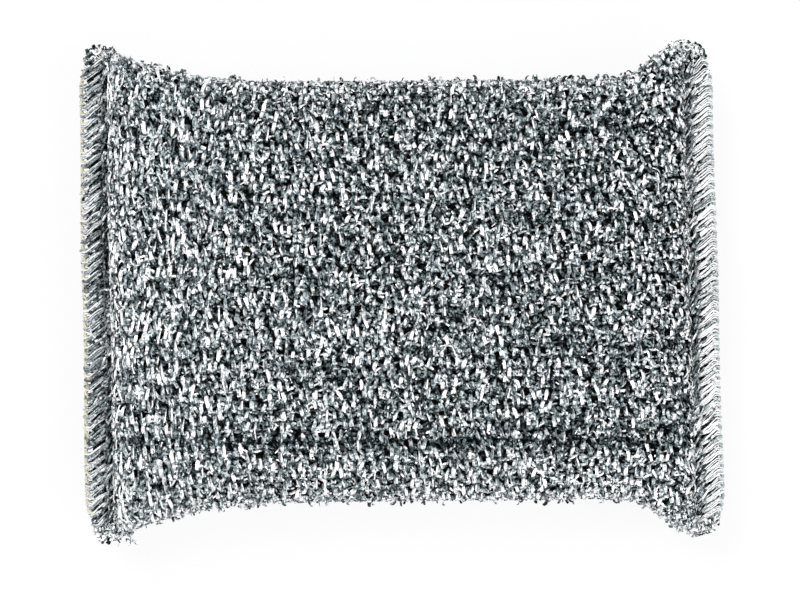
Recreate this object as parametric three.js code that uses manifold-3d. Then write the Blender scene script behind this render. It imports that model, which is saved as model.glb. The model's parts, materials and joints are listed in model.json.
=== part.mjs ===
// Wheel cleaning sponge: a foam block in a knitted scouring cover whose two ends are sewn shut.
// Millimetres, +Z up. The pad lies on its broad face: X runs along the tube of the cover from
// one sewn end to the other, Y runs along the seams, and Z = 0 is the surface it rests on.

import * as THREE from 'three';
import { mergeVertices } from 'three/addons/utils/BufferGeometryUtils.js';
import Module from 'manifold-3d';

// Cover, before it is laid down
const COVER_LENGTH = 124.6; // between the two cut edges of the knitted tube
const BODY_WIDTH = 84.6; // at the middle of the length
const LEFT_SEAM_LENGTH = 98.6; // from corner to corner along the left cut edge
const RIGHT_SEAM_LENGTH = 97.8; // from corner to corner along the right cut edge
const BODY_HEIGHT = 25; // of the filled pad when nothing presses on it
const REST_SINK = 0.8; // how far its own weight flattens the underside
const COVER_WALL = 1.2; // thickness of the knit over the foam
const SEAM_WALL = 0.7; // thickness of the knit where the seam presses it
const SEAM_SLIT = 0.3; // gap between the two pressed layers
const SECTION_SQUARENESS = 3.5; // 2 is an ellipse, larger is boxier, across the pad
const PROFILE_SQUARENESS = 4; // the same along the pad

// Corners that stand out as ears, because the flattened tube is wider than the filled one
const LEFT_EAR_REACH = 17;
const LEFT_EAR_SHARPNESS = 1.6;
const RIGHT_EAR_REACH = 13;
const RIGHT_EAR_SHARPNESS = 4;
const CORNER_RADIUS = 3.6; // of the rounded corners of the pressed fabric

// Sewing that is not quite true
const LEFT_SEAM_SLANT = 1.6; // how far the top corner lies left of the bottom corner
const RIGHT_SEAM_SLANT = 2.8;
const BODY_SKEW = 1.2; // rise of the centre line from the left seam to the right one
const SEAM_WAVE = 0.8; // height of the gentle wave along each seam
const SEAM_WAVE_LENGTH = 46;
const SEAM_WAVE_FADE = 9; // how far the wave reaches into the pad

// Knit, drawn as staggered ridges that run across the pad
const RIDGE_HEIGHT = 0.8;
const RIDGE_PITCH = 4.4; // from ridge to ridge along the pad
const RIDGE_LENGTH = 11.2; // of one ridge with the dip that follows it, around the pad
const CREASE_DEPTH = 0.5; // long crease where the cover turns down to the lower side
const CREASE_WIDTH = 5;
const CREASE_FROM_MIDDLE = 29.6;

// Foam
const FOAM_GAP = 0.3; // between the foam and the inside of the cover

// Overlock seams
const STITCH_PITCH = 1.94;
const STITCH_LEAN = 2.4; // how far a stitch slants along the seam while it crosses the band
const NEEDLE_LINE = 3; // from the cut edge to the row of needle holes
const SEAM_ALLOWANCE = 4.6; // flat fabric from the cut edge to the filled part
const SEAM_END_MARGIN = 1; // from the rounded corner of the fabric to the first stitch
const THREAD = 0.6; // thickness of the overlock thread
const EDGE_THREAD = 0.5; // thickness of the thread that lies along the cut edge
const THREAD_GAP = 0.22; // between a thread and whatever it passes
const EDGE_THREAD_SWAY = 0.08; // how far the loops pull the edge thread up and down

// How finely the curved parts are drawn
const LINING_STATIONS = 14; // inside of the cover and foam, along the pad
const LINING_RING = 24; // inside of the cover and foam, around the pad
const THREAD_SIDES = 4;
const CURVE_DIVISIONS = 1000; // for measuring the length of a superellipse
const RIDGE_PROFILE = [0, 1, 0.45]; // share of the ridge height at each station of one ridge

// Sizes that follow
const HALF_LENGTH = COVER_LENGTH / 2;
const HALF_BODY = HALF_LENGTH - SEAM_ALLOWANCE;
const HALF_HEIGHT = BODY_HEIGHT / 2;
const MID_HEIGHT = HALF_HEIGHT - REST_SINK;
const SEAM_HALF = SEAM_WALL + SEAM_SLIT / 2;
const STITCH_HEIGHT = SEAM_HALF + THREAD_GAP + THREAD / 2;
const HOLE = THREAD + 2 * THREAD_GAP;
const EDGE_THREAD_OUT = THREAD_GAP + EDGE_THREAD / 2;
const STITCH_OUT = EDGE_THREAD_OUT + (EDGE_THREAD + THREAD) / 2 + THREAD_GAP;

const COLOURS = { foam: '#4a4c42', knit: '#8b9295', thread: '#b4b9bb', edge: '#d9d6c0' };

const wasm = await Module();
wasm.setup();

// A superellipse, or a stretch of one, between two angles
class Superellipse extends THREE.Curve {
  constructor(halfWidth, halfHeight, squareness, from, to) {
    super();
    Object.assign(this, { halfWidth, halfHeight, squareness, from, to });
    this.arcLengthDivisions = CURVE_DIVISIONS;
  }

  getPoint(t, target = new THREE.Vector2()) {
    const angle = THREE.MathUtils.lerp(this.from, this.to, t);
    const [across, up] = [Math.cos(angle), Math.sin(angle)];
    const sum = Math.abs(across) ** this.squareness + Math.abs(up) ** this.squareness;
    const reach = sum ** (-1 / this.squareness);
    return target.set(this.halfWidth * across * reach, this.halfHeight * up * reach);
  }
}

// How much the nearer ear widens the pad at a place along it, as a half width
function earWidth(x) {
  const left = x < 0;
  const seam = left ? LEFT_SEAM_LENGTH : RIGHT_SEAM_LENGTH;
  const reach = left ? LEFT_EAR_REACH : RIGHT_EAR_REACH;
  const sharpness = left ? LEFT_EAR_SHARPNESS : RIGHT_EAR_SHARPNESS;
  const inward = Math.max(0, HALF_LENGTH - Math.abs(x)) / reach;
  return ((seam - BODY_WIDTH) / 2) * Math.exp(-(inward ** sharpness));
}

// How much the rounded corners take off the half width at a place along the pad
function cornerLoss(x) {
  const short = Math.max(0, CORNER_RADIUS - (HALF_LENGTH - Math.abs(x)));
  const kept = Math.max(0, CORNER_RADIUS ** 2 - short ** 2);
  return CORNER_RADIUS - Math.sqrt(kept);
}

// Half width of the pad at a place along it
function halfWidthAt(x) {
  return BODY_WIDTH / 2 + earWidth(x) - cornerLoss(x);
}

// Height of the gentle wave that runs along each seam
function seamWave(x, y) {
  const inward = (HALF_LENGTH - Math.abs(x)) / SEAM_WAVE_FADE;
  const phase = (2 * Math.PI * y) / SEAM_WAVE_LENGTH + (x < 0 ? 0 : Math.PI / 3);
  return SEAM_WAVE * Math.sin(phase) * Math.exp(-(Math.max(0, inward) ** 2));
}

// Moves a point of a true, straight pad to its place on the slightly crooked one
function settle(x, y, z) {
  const along = x / COVER_LENGTH + 0.5;
  const slant = THREE.MathUtils.lerp(LEFT_SEAM_SLANT, RIGHT_SEAM_SLANT, along);
  const seam = THREE.MathUtils.lerp(LEFT_SEAM_LENGTH, RIGHT_SEAM_LENGTH, along);
  return [x - (slant * y) / seam, y + BODY_SKEW * (along - 0.5), MID_HEIGHT + z + seamWave(x, y)];
}

// Directions around the pad, evenly spaced along the section at its middle
function ringDirections(count) {
  const middle = new Superellipse(BODY_WIDTH / 2, HALF_HEIGHT, SECTION_SQUARENESS, 0, 2 * Math.PI);
  return middle
    .getSpacedPoints(count)
    .slice(0, count)
    .map((point) => [point.x / middle.halfWidth, point.y / middle.halfHeight]);
}

// Stations along a filled body, each a place and a half height, evenly spaced along its profile
function bodyStations(inset, count, least) {
  const halfLength = HALF_BODY - inset;
  const halfHeight = HALF_HEIGHT - inset;
  const profile = new Superellipse(halfLength, halfHeight, PROFILE_SQUARENESS, Math.PI, 0);
  return profile.getSpacedPoints(count).map((point) => [point.x, Math.max(point.y, least)]);
}

// Closed solid through rings of points, with a strip of faces from top to bottom over each end
function loft(rings) {
  const around = rings[0].length;
  const positions = rings.flat(2);
  const index = [];
  for (let i = 0; i + 1 < rings.length; i += 1) {
    for (let j = 0; j < around; j += 1) {
      const a = i * around + j;
      const b = i * around + ((j + 1) % around);
      index.push(a, b, a + around, b, b + around, a + around);
    }
  }
  const last = (rings.length - 1) * around;
  for (let j = 0; j < around / 2; j += 1) {
    const [a, b, c, d] = [j, j + 1, around - j - 1, (around - j) % around];
    const faces = [[a, c, b], [a, d, c]].filter((face) => new Set(face).size === 3);
    faces.forEach(([p, q, r]) => index.push(p, q, r, last + p, last + r, last + q));
  }
  const geometry = new THREE.BufferGeometry();
  geometry.setAttribute('position', new THREE.Float32BufferAttribute(positions, 3));
  geometry.setIndex(index);
  return geometry;
}

function toSolid(geometry) {
  const bare = geometry.clone();
  bare.deleteAttribute('normal');
  bare.deleteAttribute('uv');
  const merged = mergeVertices(bare, 1e-5);
  const mesh = new wasm.Mesh({
    numProp: 3,
    vertProperties: new Float32Array(merged.attributes.position.array),
    triVerts: new Uint32Array(merged.index.array),
  });
  return new wasm.Manifold(mesh);
}

function toGeometry(solid) {
  const { numProp, vertProperties, triVerts } = solid.getMesh();
  const geometry = new THREE.BufferGeometry();
  const interleaved = new THREE.InterleavedBuffer(vertProperties, numProp);
  geometry.setAttribute('position', new THREE.InterleavedBufferAttribute(interleaved, 3, 0));
  geometry.setIndex(new THREE.BufferAttribute(triVerts, 1));
  return geometry.toNonIndexed();
}

// How fully the knit shows its ridges: not in the pressed seam, and fully over the foam
function ridgeShare(x) {
  const inward = HALF_BODY - Math.abs(x);
  return THREE.MathUtils.smoothstep(inward, 0, RIDGE_PITCH);
}

// Depth of the long crease near the lower side of the upper face
function creaseDepth(x, y, up) {
  if (up <= 0) {
    return 0;
  }
  const across = (y + CREASE_FROM_MIDDLE) / (CREASE_WIDTH / 2);
  return Math.min(CREASE_DEPTH, COVER_WALL / 2) * ridgeShare(x) * Math.exp(-(across ** 2));
}

// Outside of the knitted cover, with its ridges, flat seams and the flattened underside
function coverOutside() {
  const body = new Superellipse(HALF_BODY, HALF_HEIGHT, PROFILE_SQUARENESS, Math.PI, 0);
  const along = RIDGE_PROFILE.length * Math.round(body.getLength() / RIDGE_PITCH);
  const section = new Superellipse(BODY_WIDTH / 2, HALF_HEIGHT, SECTION_SQUARENESS, 0, 2 * Math.PI);
  const directions = ringDirections(2 * Math.round(section.getLength() / RIDGE_LENGTH));
  const seamStations = [0, 0.5].map((share) => [HALF_LENGTH - share * SEAM_ALLOWANCE, SEAM_HALF]);
  const stations = [
    ...seamStations.map(([x, half]) => [-x, half]),
    ...bodyStations(0, along, SEAM_HALF),
    ...seamStations.reverse(),
  ];
  return loft(stations.map(([x, halfHeight], i) => directions.map(([across, up], j) => {
    const step = (i + (j % 2)) % RIDGE_PROFILE.length;
    const ridge = RIDGE_HEIGHT * ridgeShare(x) * RIDGE_PROFILE[step];
    const halfWidth = halfWidthAt(x) - RIDGE_HEIGHT + ridge;
    const y = halfWidth * across;
    const height = Math.max(halfHeight - RIDGE_HEIGHT * ridgeShare(x) + ridge, SEAM_HALF);
    const [px, py, pz] = settle(x, y, height * up - creaseDepth(x, y, up));
    return [px, py, Math.max(pz, 0)];
  })));
}

// Hollow of the cover: the room for the foam, with a slit that runs out through each seam
function coverInside() {
  const inset = COVER_WALL + RIDGE_HEIGHT;
  const past = HALF_LENGTH + SEAM_WALL;
  const stations = [
    [-past, SEAM_SLIT / 2],
    [-HALF_LENGTH, SEAM_SLIT / 2],
    ...bodyStations(inset, LINING_STATIONS, SEAM_SLIT / 2),
    [HALF_LENGTH, SEAM_SLIT / 2],
    [past, SEAM_SLIT / 2],
  ];
  const directions = ringDirections(LINING_RING);
  return loft(stations.map(([x, halfHeight]) => directions.map(([across, up]) => {
    const [px, py, pz] = settle(x, (halfWidthAt(x) - inset) * across, halfHeight * up);
    return [px, py, Math.max(pz, COVER_WALL)];
  })));
}

// Foam block with rounded sides, which fills the cover but not its ears
function foamBlock() {
  const inset = COVER_WALL + RIDGE_HEIGHT + FOAM_GAP;
  const stations = bodyStations(inset, LINING_STATIONS, SEAM_SLIT / 2);
  const directions = ringDirections(LINING_RING);
  return loft(stations.map(([x, halfHeight]) => directions.map(([across, up]) => {
    const [px, py, pz] = settle(x, (BODY_WIDTH / 2 - inset) * across, halfHeight * up);
    return [px, py, Math.max(pz, COVER_WALL + FOAM_GAP)];
  })));
}

// One sewn end. Its points are given by the distance inward from the cut edge, the distance
// along the seam and the height over its middle. The right end is the left one turned half round.
class SewnEnd {
  constructor(side, seamLength) {
    this.side = side;
    const sewn = seamLength - 2 * (CORNER_RADIUS + SEAM_END_MARGIN);
    this.stitches = Math.floor(sewn / STITCH_PITCH);
    this.start = (-(this.stitches - 1) / 2) * STITCH_PITCH;
  }

  at(inward, along, height) {
    return settle(this.side * (HALF_LENGTH - inward), -this.side * along, height);
  }

  // Square hole through both layers for each stitch
  needleHoles() {
    const depth = 2 * (SEAM_HALF + SEAM_WALL);
    return Array.from({ length: this.stitches }, (_, k) => {
      const hole = new THREE.BoxGeometry(HOLE, HOLE, depth);
      hole.translate(NEEDLE_LINE, this.start + k * STITCH_PITCH, 0);
      const corner = hole.attributes.position;
      for (let i = 0; i < corner.count; i += 1) {
        corner.setXYZ(i, ...this.at(corner.getX(i), corner.getY(i), corner.getZ(i)));
      }
      return hole;
    });
  }

  // Corners of the overlock thread: down a hole, under the fabric, round the edge and back
  overlockCorners() {
    const lag = STITCH_PITCH - STITCH_LEAN;
    const corners = [];
    for (let k = 0; k < this.stitches; k += 1) {
      const y = this.start + k * STITCH_PITCH;
      corners.push(this.at(NEEDLE_LINE, y, STITCH_HEIGHT));
      corners.push(this.at(NEEDLE_LINE, y, -STITCH_HEIGHT));
      corners.push(this.at(0, y + lag / 3, -STITCH_HEIGHT));
      corners.push(this.at(-STITCH_OUT, y + (2 * lag) / 3, 0));
      corners.push(this.at(0, y + lag, STITCH_HEIGHT));
    }
    return corners;
  }

  // Corners of the thread that the loops hold against the cut edge
  edgeCorners() {
    const corners = [];
    for (let k = 0; k < this.stitches; k += 1) {
      const sway = k % 2 === 0 ? EDGE_THREAD_SWAY : -EDGE_THREAD_SWAY;
      corners.push(this.at(-EDGE_THREAD_OUT, this.start + k * STITCH_PITCH, sway));
    }
    return corners;
  }
}

// A path of straight runs that is sampled at its corners and nowhere else
class ThreadPath extends THREE.Curve {
  constructor(corners) {
    super();
    this.corners = corners.map((corner) => new THREE.Vector3(...corner));
  }

  getPoint(t, target = new THREE.Vector3()) {
    const place = THREE.MathUtils.clamp(t, 0, 1) * (this.corners.length - 1);
    const run = Math.min(Math.floor(place), this.corners.length - 2);
    return target.lerpVectors(this.corners[run], this.corners[run + 1], place - run);
  }

  getUtoTmapping(u) {
    return u;
  }
}

// Round thread along a path, closed at both ends
function threadAlong(corners, thickness) {
  const section = new THREE.Shape();
  section.absarc(0, 0, thickness / 2, 0, 2 * Math.PI);
  const outline = new THREE.Shape(section.getPoints(THREAD_SIDES).slice(0, THREAD_SIDES));
  return new THREE.ExtrudeGeometry(outline, {
    steps: corners.length - 1,
    bevelEnabled: false,
    extrudePath: new ThreadPath(corners),
  });
}

// Knitted cover: the outside less the hollow and the needle holes
function knittedCover(ends) {
  const holes = ends.flatMap((end) => end.needleHoles());
  const cuts = [coverInside(), ...holes];
  return toGeometry(cuts.reduce((cover, cut) => cover.subtract(toSolid(cut)), toSolid(coverOutside())));
}

function finish(colour, roughness, metalness) {
  return new THREE.MeshStandardMaterial({ color: colour, roughness, metalness });
}

function named(name, geometry, material) {
  const mesh = new THREE.Mesh(geometry, material);
  mesh.name = name;
  return mesh;
}

// The whole pad, moved so that the origin is under the middle of its box
function wheelCleaningSponge() {
  const left = new SewnEnd(-1, LEFT_SEAM_LENGTH);
  const right = new SewnEnd(1, RIGHT_SEAM_LENGTH);
  const thread = finish(COLOURS.thread, 0.45, 0.3);
  const edge = finish(COLOURS.edge, 0.85, 0);
  const pad = new THREE.Group();
  pad.add(named('knitted_cover', knittedCover([left, right]), finish(COLOURS.knit, 0.3, 0.7)));
  pad.add(named('foam_core', foamBlock(), finish(COLOURS.foam, 0.95, 0)));
  pad.add(named('left_overlock_thread', threadAlong(left.overlockCorners(), THREAD), thread));
  pad.add(named('left_edge_thread', threadAlong(left.edgeCorners(), EDGE_THREAD), edge));
  pad.add(named('right_overlock_thread', threadAlong(right.overlockCorners(), THREAD), thread));
  pad.add(named('right_edge_thread', threadAlong(right.edgeCorners(), EDGE_THREAD), edge));
  const box = new THREE.Box3().setFromObject(pad);
  const middle = box.getCenter(new THREE.Vector3());
  pad.position.set(-middle.x, -middle.y, -box.min.z);
  return pad;
}

export default wheelCleaningSponge();
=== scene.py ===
"""Wheel cleaning sponge: a foam pad in a knitted cover of silvery tape, sewn shut at both ends.

Metres, +Z up. X runs along the tube of the cover from the left seam to the right one, Y runs
along the seams, and the pad lies on Z = 0. The shape follows a few driving dimensions, given in
millimetres through mm(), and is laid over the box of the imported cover.
"""

import json
import logging
import math
from dataclasses import dataclass, field
from enum import Enum

import bpy
import numpy as np
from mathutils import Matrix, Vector

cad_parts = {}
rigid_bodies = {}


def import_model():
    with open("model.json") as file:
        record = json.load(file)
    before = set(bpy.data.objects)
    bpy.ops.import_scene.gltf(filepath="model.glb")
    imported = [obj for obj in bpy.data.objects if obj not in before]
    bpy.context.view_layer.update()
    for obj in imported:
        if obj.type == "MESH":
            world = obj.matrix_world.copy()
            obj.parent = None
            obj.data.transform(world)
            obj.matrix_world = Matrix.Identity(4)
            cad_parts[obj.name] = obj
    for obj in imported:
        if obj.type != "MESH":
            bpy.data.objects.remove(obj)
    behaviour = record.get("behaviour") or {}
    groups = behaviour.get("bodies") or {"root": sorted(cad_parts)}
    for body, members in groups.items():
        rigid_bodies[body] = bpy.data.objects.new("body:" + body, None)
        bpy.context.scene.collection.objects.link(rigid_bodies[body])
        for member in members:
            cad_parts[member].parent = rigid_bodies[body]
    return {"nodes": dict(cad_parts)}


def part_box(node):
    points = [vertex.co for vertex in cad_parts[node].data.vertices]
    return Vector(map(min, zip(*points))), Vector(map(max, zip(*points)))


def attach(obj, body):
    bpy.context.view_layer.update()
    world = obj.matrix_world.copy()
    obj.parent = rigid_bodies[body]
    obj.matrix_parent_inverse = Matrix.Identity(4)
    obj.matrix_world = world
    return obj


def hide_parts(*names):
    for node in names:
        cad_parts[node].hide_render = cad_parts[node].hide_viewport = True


LOG = logging.getLogger("wheel_cleaning_sponge")
Array = np.ndarray
Colour = tuple[float, float, float]
Strand = tuple[Array, float, float]
Tree = bpy.types.NodeTree
Socket = bpy.types.NodeSocket


def mm(value: float) -> float:
    """Millimetres in metres."""
    return value / 1000.0


# Corners in the section of a creased tape, and the lowest height that one of them may have.
TAPE_CORNERS = 3
LOWEST_HEIGHT = mm(0.03)


def grey_blue(level: float) -> Colour:
    """Colour of the metallised tape at a brightness, cool in the darks and neutral in the lights.

    Args:
        level: Brightness as it should look on screen, from 0 to 1.

    Returns:
        Linear red, green and blue.
    """
    warmth = 0.045 * math.sin(math.pi * min(1.0, level * 1.05))
    shown = (level - warmth, level + 0.1 * warmth, level + 0.45 * warmth)
    return tuple(max(0.0, channel) ** 2.2 for channel in shown)


class Side(Enum):
    """The two sewn ends, with the sign of their X."""

    LEFT = -1
    RIGHT = 1


class Face(Enum):
    """The two broad faces of the pad."""

    UPPER = "upper"
    UNDER = "under"


@dataclass
class PadShape:
    """Form of the filled cover, given by places along its profile and around its section.

    A place along the pad runs from 0 at the left cut edge to 1 at the right one, measured over
    the surface. A place around it runs from 0 to 1, from the upper side's edge over the top.
    """

    length: float = mm(124.6)
    body_width: float = mm(84.6)
    seam_lengths: tuple[float, float] = (mm(98.6), mm(97.8))
    body_height: float = mm(25.0)
    rest_sink: float = mm(0.8)
    section_squareness: float = 3.5
    profile_squareness: float = 4.0
    ear_reaches: tuple[float, float] = (mm(17.0), mm(13.0))
    ear_sharpness: tuple[float, float] = (1.6, 4.0)
    corner_radius: float = mm(3.6)
    seam_slants: tuple[float, float] = (mm(1.6), mm(2.8))
    body_skew: float = mm(1.2)
    seam_wave: float = mm(0.8)
    seam_wave_length: float = mm(46.0)
    seam_wave_fade: float = mm(9.0)
    seam_allowance: float = mm(4.6)
    seam_half: float = mm(0.85)
    crease_depth: float = mm(0.55)
    crease_width: float = mm(5.0)
    crease_from_middle: float = mm(29.6)
    dimple_depth: float = mm(0.35)
    dimple_waves: tuple[float, ...] = (mm(9.5), mm(7.5), mm(4.1), mm(6.3))
    dimple_start: float = 1.1
    end_blend: float = mm(6.0)
    end_inset: float = 0.35
    profile_samples: int = 3000
    section_samples: int = 4001
    middle: Vector = field(default_factory=Vector)

    def __post_init__(self) -> None:
        """Measures the profile and the section once, for places spaced evenly over them."""
        self.half_length = self.length / 2
        self.half_body = self.half_length - self.seam_allowance
        self.half_height = self.body_height / 2
        self.mid_height = self.half_height - self.rest_sink
        angles = np.linspace(math.pi, 0.0, self.profile_samples)
        along, high = self.superellipse(angles, self.half_body, self.half_height, self.profile_squareness)
        ends = np.array([-self.half_length, self.half_length])
        self.profile_x = np.concatenate([ends[:1], along, ends[1:]])
        self.profile_high = np.maximum(np.concatenate([[0.0], high, [0.0]]), self.seam_half)
        self.profile_place, self.profile_length = self.measured(self.profile_x, self.profile_high)
        turn = np.linspace(0.0, 2 * math.pi, self.section_samples)
        across, up = self.superellipse(turn, self.body_width / 2, self.half_height, self.section_squareness)
        self.ring_place, self.girth = self.measured(across, up)
        self.ring_across, self.ring_up = across / (self.body_width / 2), up / self.half_height

    @staticmethod
    def superellipse(
        angle: Array, half_width: float, half_height: float, squareness: float
    ) -> tuple[Array, Array]:
        """Points of a superellipse at the given angles.

        Args:
            angle: Angles, in radians.
            half_width: Half of its width.
            half_height: Half of its height.
            squareness: Exponent, 2 for an ellipse and more for a boxier form.

        Returns:
            The two coordinates of each point.
        """
        across, up = np.cos(angle), np.sin(angle)
        reach = (np.abs(across) ** squareness + np.abs(up) ** squareness) ** (-1 / squareness)
        return half_width * across * reach, half_height * up * reach

    @staticmethod
    def measured(first: Array, second: Array) -> tuple[Array, float]:
        """Share of its length at each point of an outline, and that length."""
        run = np.concatenate([[0.0], np.cumsum(np.hypot(np.diff(first), np.diff(second)))])
        return run / run[-1], float(run[-1])

    def seam_length(self, side: Side) -> float:
        """Length of the seam at one end."""
        return self.seam_lengths[0 if side is Side.LEFT else 1]

    def half_width(self, x: Array) -> Array:
        """Half width of the pad at a place along it, with its ears and rounded corners."""
        left = x < 0
        seam = np.where(left, *self.seam_lengths)
        inward = np.maximum(0.0, self.half_length - np.abs(x))
        reach = np.where(left, *self.ear_reaches)
        sharpness = np.where(left, *self.ear_sharpness)
        ear = (seam - self.body_width) / 2 * np.exp(-((inward / reach) ** sharpness))
        short = np.maximum(0.0, self.corner_radius - inward)
        loss = self.corner_radius - np.sqrt(np.maximum(0.0, self.corner_radius**2 - short**2))
        return self.body_width / 2 + ear - loss

    def settle(self, x: Array, y: Array, z: Array) -> Array:
        """Moves points of a true, straight pad to their places on the slightly crooked one.

        Args:
            x: Places along the pad.
            y: Places across it.
            z: Heights over its middle.

        Returns:
            Points in the frame of the part, one row each.
        """
        along = x / self.length + 0.5
        slant = self.seam_slants[0] + (self.seam_slants[1] - self.seam_slants[0]) * along
        seam = self.seam_lengths[0] + (self.seam_lengths[1] - self.seam_lengths[0]) * along
        inward = np.maximum(0.0, self.half_length - np.abs(x)) / self.seam_wave_fade
        phase = 2 * math.pi * y / self.seam_wave_length + np.where(x < 0, 0.0, math.pi / 3)
        wave = self.seam_wave * np.sin(phase) * np.exp(-(inward**2))
        placed = [x - slant * y / seam, y + self.body_skew * (along - 0.5), self.mid_height + z + wave]
        return np.stack(placed, axis=-1) + np.array(self.middle)

    def skin(self, along: Array, around: Array, depth: float = 0.0) -> Array:
        """Points of the pad's skin.

        Args:
            along: Places along the pad, from 0 to 1.
            around: Places around it, from 0 to 1.
            depth: How far under the outside of the cover the skin lies.

        Returns:
            Points in the frame of the part, one row each.
        """
        x = np.interp(along, self.profile_place, self.profile_x)
        high = np.interp(along, self.profile_place, self.profile_high)
        across = np.interp(np.mod(around, 1.0), self.ring_place, self.ring_across)
        up = np.interp(np.mod(around, 1.0), self.ring_place, self.ring_up)
        body = np.clip((self.half_body - np.abs(x)) / self.end_blend, 0.0, 1.0)
        inset = depth * (self.end_inset + (1.0 - self.end_inset) * body)
        x = x * (1.0 - inset * (1.0 - body) / self.half_length)
        y = (self.half_width(x) - inset) * across
        crease = self.crease_depth * np.exp(-(((y + self.crease_from_middle) / (self.crease_width / 2)) ** 2))
        waves = self.dimple_waves
        broad = np.sin(x / waves[0] + self.dimple_start) * np.sin(y / waves[1])
        dimples = self.dimple_depth * (broad + np.sin(x / waves[2] + y / waves[3]))
        sink = np.where(up > 0.0, crease + 0.5 * dimples, 0.0) * body
        points = self.settle(x, y, np.maximum(high - inset, 0.0) * up - sink)
        points[..., 2] = np.maximum(points[..., 2], depth)
        return points

    def seam_point(self, side: Side, inward: Array, along: Array, height: Array) -> Array:
        """Points of a sewn end, by the distance inward from the cut edge and along the seam."""
        return self.settle(side.value * (self.half_length - inward), -side.value * along, height)


@dataclass(frozen=True)
class Finish:
    """A finish that is made of shader nodes, with the numbers that are the same all over it."""

    name: str
    slot: str
    roughness: float
    metallic: float = 0.0
    sheen: float = 0.0
    specular: float = 0.5

    def start(self) -> tuple[bpy.types.Material, Tree, bpy.types.ShaderNode]:
        """Makes the material and its shader.

        Returns:
            The material, its node tree and the shader node.
        """
        material = bpy.data.materials.new(self.name)
        material.use_nodes = True
        tree = material.node_tree
        shader = tree.nodes["Principled BSDF"]
        shader.inputs["Roughness"].default_value = self.roughness
        shader.inputs["Metallic"].default_value = self.metallic
        shader.inputs["Specular IOR Level"].default_value = self.specular
        shader.inputs["Sheen Weight"].default_value = self.sheen
        return material, tree, shader

    @staticmethod
    def node(tree: Tree, kind: str, settings: dict | None = None, **inputs: object) -> bpy.types.Node:
        """Adds a node, sets its properties and fills or links its inputs.

        Args:
            tree: The node tree.
            kind: Type of the node.
            settings: Properties of the node itself.
            **inputs: Input values or output sockets, by input name with spaces as underscores.

        Returns:
            The new node.
        """
        made = tree.nodes.new(kind)
        for name, value in (settings or {}).items():
            setattr(made, name, value)
        for name, value in inputs.items():
            socket = made.inputs[int(name[1:])] if name[1:].isdigit() else made.inputs[name.replace("_", " ")]
            if isinstance(value, Socket):
                tree.links.new(value, socket)
            else:
                socket.default_value = value
        return made

    def grain(self, tree: Tree, size: float, detail: float = 3.0) -> Socket:
        """Noise of a real size on the object's own coordinates, from 0 to 1."""
        place = self.node(tree, "ShaderNodeTexCoord").outputs["Object"]
        noise = self.node(tree, "ShaderNodeTexNoise", Vector=place, Scale=1.0 / size, Detail=detail)
        return noise.outputs["Fac"]

    def ramp(self, tree: Tree, value: Socket, stops: list[tuple[float, Colour]]) -> Socket:
        """Colour ramp over a value, with as many stops as are given."""
        ramp = self.node(tree, "ShaderNodeValToRGB", Fac=value)
        elements = ramp.color_ramp.elements
        while len(elements) < len(stops):
            elements.new(1.0)
        for element, (place, colour) in zip(elements, stops):
            element.position = place
            element.color = (*colour, 1.0)
        return ramp.outputs["Color"]

    def mapped(self, tree: Tree, value: Socket, low: float, high: float) -> Socket:
        """A value from 0 to 1 moved to another range."""
        return self.node(tree, "ShaderNodeMapRange", Value=value, To_Min=low, To_Max=high).outputs["Result"]

    def attribute(self, tree: Tree, name: str) -> Socket:
        """A named number of the mesh itself."""
        return self.node(tree, "ShaderNodeAttribute", {"attribute_name": name}).outputs["Fac"]

    def bump(self, tree: Tree, shader: bpy.types.ShaderNode, height: Socket, depth: float) -> None:
        """Links a bump of a real depth to the shader."""
        made = self.node(tree, "ShaderNodeBump", Height=height, Strength=1.0, Distance=depth)
        tree.links.new(made.outputs["Normal"], shader.inputs["Normal"])

    @staticmethod
    def math(tree: Tree, operation: str, first: object, second: object = 0.0) -> Socket:
        """Result of a sum, product or other operation on one or two values."""
        made = Finish.node(tree, "ShaderNodeMath", {"operation": operation}, _0=first, _1=second)
        return made.outputs["Value"]


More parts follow.
